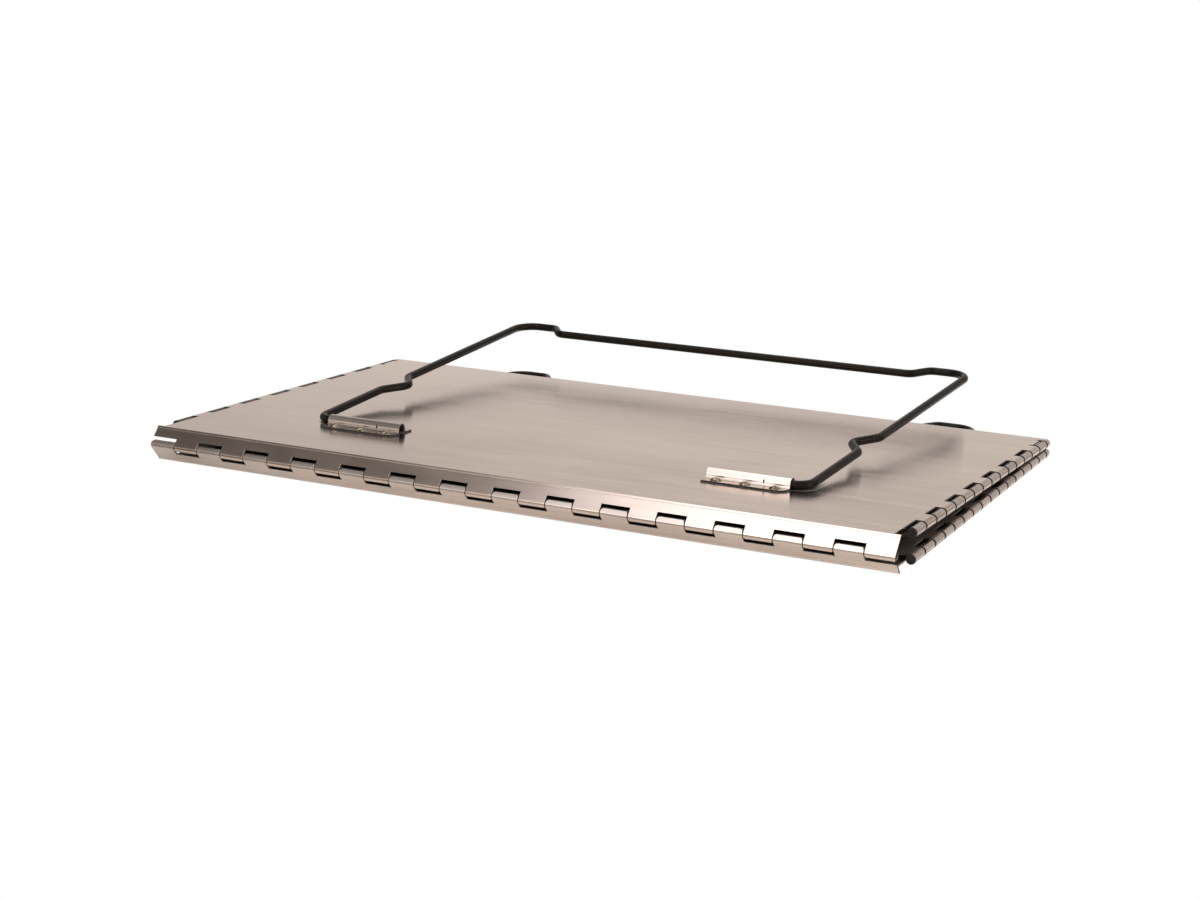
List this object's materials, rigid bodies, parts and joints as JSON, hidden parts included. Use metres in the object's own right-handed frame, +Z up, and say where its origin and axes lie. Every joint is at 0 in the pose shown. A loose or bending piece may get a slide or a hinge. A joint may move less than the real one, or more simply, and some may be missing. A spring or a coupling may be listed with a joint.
{
  "type": "folding charcoal grill",
  "caption": "Folding sheet-metal charcoal trough: two walls on a knuckled rod hinge, end leaves that fold in, and wire legs in riveted brackets that swing round and cross below.",
  "frame": {"origin": "on the ground, at the middle of the folded trough's bounding box", "axes": "+X along the main hinge, +Y from the hinge to the rims and the feet, +Z up from the ground"},
  "size_m": [0.5664, 0.4042, 0.0489],
  "materials": {
    "sheet": "brushed, 1.2 mm stainless sheet",
    "rod": "plain drawn wire, slightly warm",
    "rivet": "plated blind rivet, warm",
    "leg": "satin black powder coat"
  },
  "bodies": {
    "lower_half": {"bottom_wall": "sheet", "main_hinge_rod": "rod", "bottom_left_rod": "rod", "bottom_right_rod": "rod", "bottom_left_bracket": "sheet", "bottom_right_bracket": "sheet", "bottom_left_rivets": "rivet", "bottom_right_rivets": "rivet"},
    "upper_half": {"top_wall": "sheet", "top_left_rod": "rod", "top_right_rod": "rod", "top_left_bracket": "sheet", "top_right_bracket": "sheet", "top_left_rivets": "rivet", "top_right_rivets": "rivet"},
    "bottom_left_end": {"bottom_left_leaf": "sheet"},
    "bottom_right_end": {"bottom_right_leaf": "sheet"},
    "top_left_end": {"top_left_leaf": "sheet"},
    "top_right_end": {"top_right_leaf": "sheet"},
    "lower_leg": {"bottom_leg": "leg"},
    "upper_leg": {"top_leg": "leg"}
  },
  "joints": [
    {"name": "main_fold", "type": "hinge", "parent": "lower_half", "child": "upper_half", "pos_m": [0, -0.19889, 0.01973], "axis": [1, 0, 0], "range_deg": [0, 57.93]},
    {"name": "bottom_left_end_fold", "type": "hinge", "parent": "lower_half", "child": "bottom_left_end", "pos_m": [-0.28, -0.02309, 0.01068], "axis": [0, -1, 0], "range_deg": [0, 90.01]},
    {"name": "bottom_right_end_fold", "type": "hinge", "parent": "lower_half", "child": "bottom_right_end", "pos_m": [0.28, -0.02309, 0.01068], "axis": [0, 1, 0], "range_deg": [0, 90.01]},
    {"name": "top_left_end_fold", "type": "hinge", "parent": "upper_half", "child": "top_left_end", "pos_m": [-0.28, -0.02288, 0.02284], "axis": [0, 0.9994, -0.0338], "range_deg": [0, 90.01]},
    {"name": "top_right_end_fold", "type": "hinge", "parent": "upper_half", "child": "top_right_end", "pos_m": [0.28, -0.02288, 0.02284], "axis": [0, -0.9994, 0.0338], "range_deg": [0, 90.01]},
    {"name": "lower_leg_swing", "type": "hinge", "parent": "lower_half", "child": "lower_leg", "pos_m": [0, -0.12109, 0.00413], "axis": [-1, 0, 0], "range_deg": [0, 179.8]},
    {"name": "upper_leg_swing", "type": "hinge", "parent": "upper_half", "child": "upper_leg", "pos_m": [0, -0.12061, 0.03269], "axis": [1, 0, 0], "range_deg": [-4.3, 175.7]}
  ],
  "couplings": [
    {"joint": "bottom_left_end_fold", "follows": "main_fold", "ratio": 1.5535},
    {"joint": "bottom_right_end_fold", "follows": "main_fold", "ratio": 1.5535},
    {"joint": "top_left_end_fold", "follows": "main_fold", "ratio": 1.5535},
    {"joint": "top_right_end_fold", "follows": "main_fold", "ratio": 1.5535}
  ]
}
